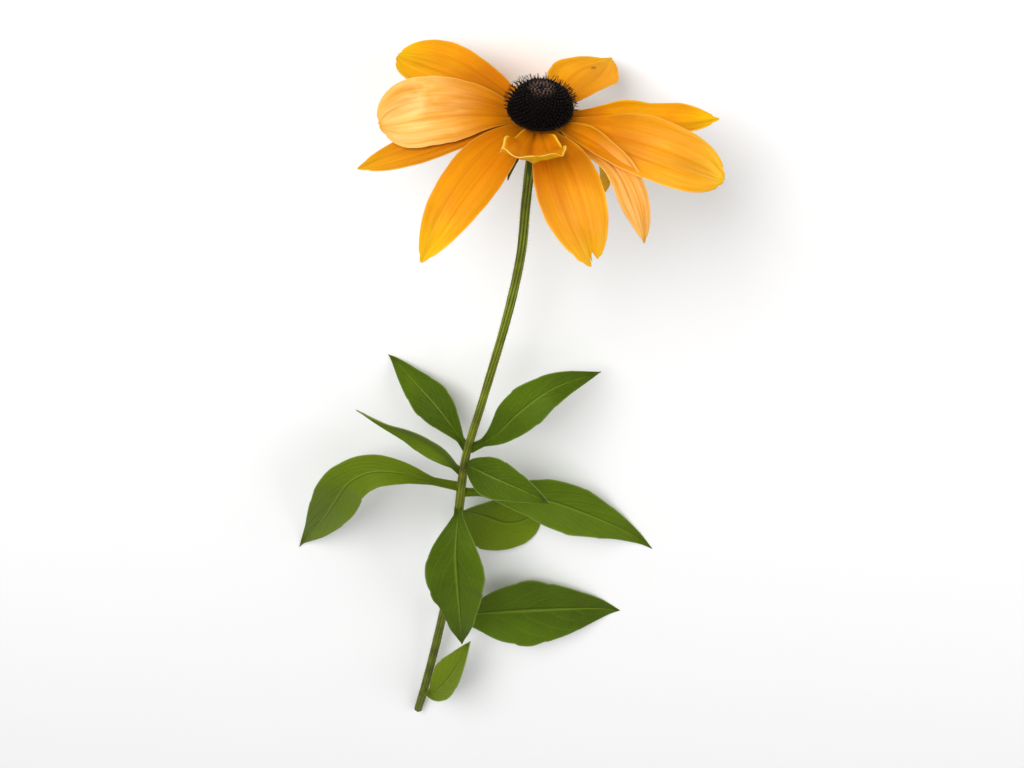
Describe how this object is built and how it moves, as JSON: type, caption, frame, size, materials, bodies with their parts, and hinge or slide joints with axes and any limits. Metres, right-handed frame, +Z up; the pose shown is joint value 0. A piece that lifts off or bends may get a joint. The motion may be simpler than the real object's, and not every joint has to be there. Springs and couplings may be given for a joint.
{
  "type": "cut black-eyed susan flower lying down",
  "caption": "Single cut stem of black-eyed Susan lying on a surface: orange-yellow ray petals round a dark domed cone, green bracts, ribbed stem and waved leaves.",
  "frame": {"origin": "on the surface it lies on, under the middle of the whole cut flower", "axes": "+X across the bloom, +Y along the stem towards the bloom, +Z up from the surface"},
  "size_m": [0.1581, 0.33, 0.0923],
  "materials": {
    "petal": "satin",
    "cone": "matte",
    "calyx": "matte",
    "stem": "satin",
    "leaf": "satin"
  },
  "bodies": {
    "root": {"cone": "cone", "ray_petals": "petal", "calyx": "calyx", "stem": "stem", "leaf_upper_right": "leaf", "leaf_upper_left": "leaf", "leaf_short_right": "leaf", "leaf_long_right": "leaf", "leaf_under_right": "leaf", "leaf_front": "leaf", "leaf_left": "leaf", "leaf_narrow_left": "leaf", "leaf_lower_right": "leaf", "leaf_lowest": "leaf"}
  },
  "joints": []
}
